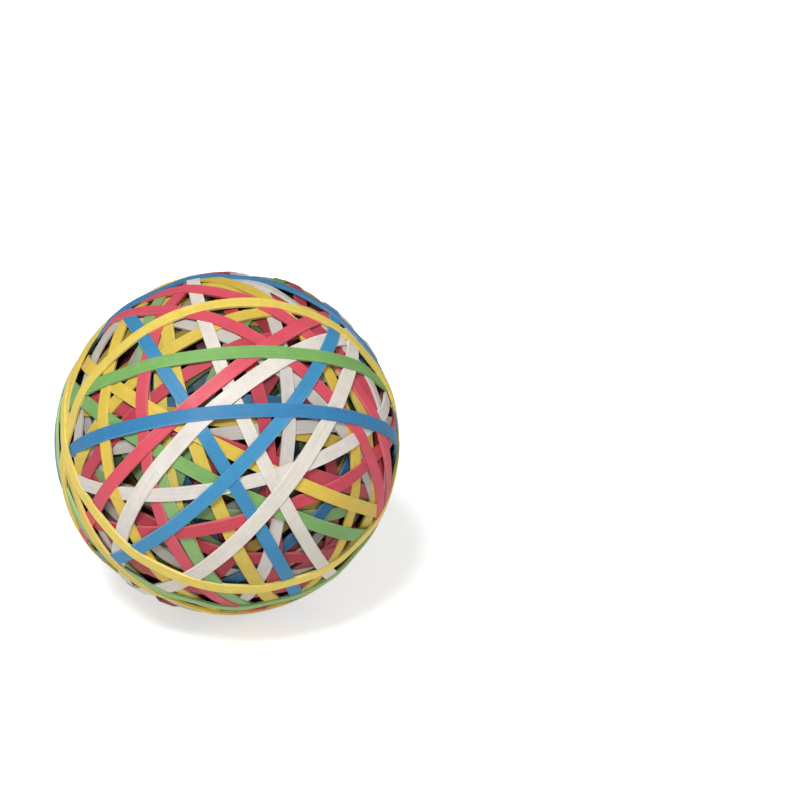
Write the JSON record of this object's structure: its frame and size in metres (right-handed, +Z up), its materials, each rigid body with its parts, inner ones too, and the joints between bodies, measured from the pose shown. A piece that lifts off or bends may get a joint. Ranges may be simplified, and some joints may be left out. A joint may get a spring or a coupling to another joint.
{
  "type": "rubber band ball",
  "caption": "Round ball of coloured rubber bands stretched over one another, from which single bands are pulled off for use at a desk.",
  "frame": {"origin": "the middle of the ball, which is the middle of its bounding box", "axes": "+Z up as the ball lies on a table, with the resting point straight down along -Z, and -Y towards someone who looks at it from the front"},
  "size_m": [0.0829, 0.0827, 0.0825],
  "materials": {
    "blue_rubber": "matt blue rubber with a faint lengthwise grain",
    "green_rubber": "matt light green rubber with a faint lengthwise grain",
    "red_rubber": "matt pinkish red rubber with a faint lengthwise grain",
    "white_rubber": "matt off-white rubber with a faint lengthwise grain",
    "yellow_rubber": "matt warm yellow rubber with a faint lengthwise grain",
    "inner_rubber": "matt mixed rubber in the shade of the bands over it"
  },
  "bodies": {
    "root": {"blue_band_05": "blue_rubber", "blue_band_06": "blue_rubber", "blue_band_09": "blue_rubber", "blue_band_15": "blue_rubber", "blue_band_33": "blue_rubber", "blue_band_41": "blue_rubber", "blue_band_50": "blue_rubber", "blue_band_54": "blue_rubber", "green_band_04": "green_rubber", "green_band_07": "green_rubber", "green_band_20": "green_rubber", "green_band_25": "green_rubber", "green_band_44": "green_rubber", "green_band_48": "green_rubber", "green_band_55": "green_rubber", "inner_winding": "inner_rubber", "red_band_11": "red_rubber", "red_band_12": "red_rubber", "red_band_13": "red_rubber", "red_band_18": "red_rubber", "red_band_21": "red_rubber", "red_band_28": "red_rubber", "red_band_30": "red_rubber", "red_band_34": "red_rubber", "red_band_35": "red_rubber", "red_band_37": "red_rubber", "red_band_38": "red_rubber", "red_band_42": "red_rubber", "red_band_47": "red_rubber", "red_band_52": "red_rubber", "red_band_56": "red_rubber", "white_band_08": "white_rubber", "white_band_10": "white_rubber", "white_band_14": "white_rubber", "white_band_17": "white_rubber", "white_band_24": "white_rubber", "white_band_27": "white_rubber", "white_band_31": "white_rubber", "white_band_32": "white_rubber", "white_band_39": "white_rubber", "white_band_45": "white_rubber", "white_band_46": "white_rubber", "white_band_51": "white_rubber", "white_band_57": "white_rubber", "yellow_band_01": "yellow_rubber", "yellow_band_02": "yellow_rubber", "yellow_band_03": "yellow_rubber", "yellow_band_16": "yellow_rubber", "yellow_band_19": "yellow_rubber", "yellow_band_22": "yellow_rubber", "yellow_band_23": "yellow_rubber", "yellow_band_26": "yellow_rubber", "yellow_band_29": "yellow_rubber", "yellow_band_36": "yellow_rubber", "yellow_band_40": "yellow_rubber", "yellow_band_43": "yellow_rubber", "yellow_band_49": "yellow_rubber", "yellow_band_53": "yellow_rubber", "yellow_band_58": "yellow_rubber"}
  },
  "joints": []
}
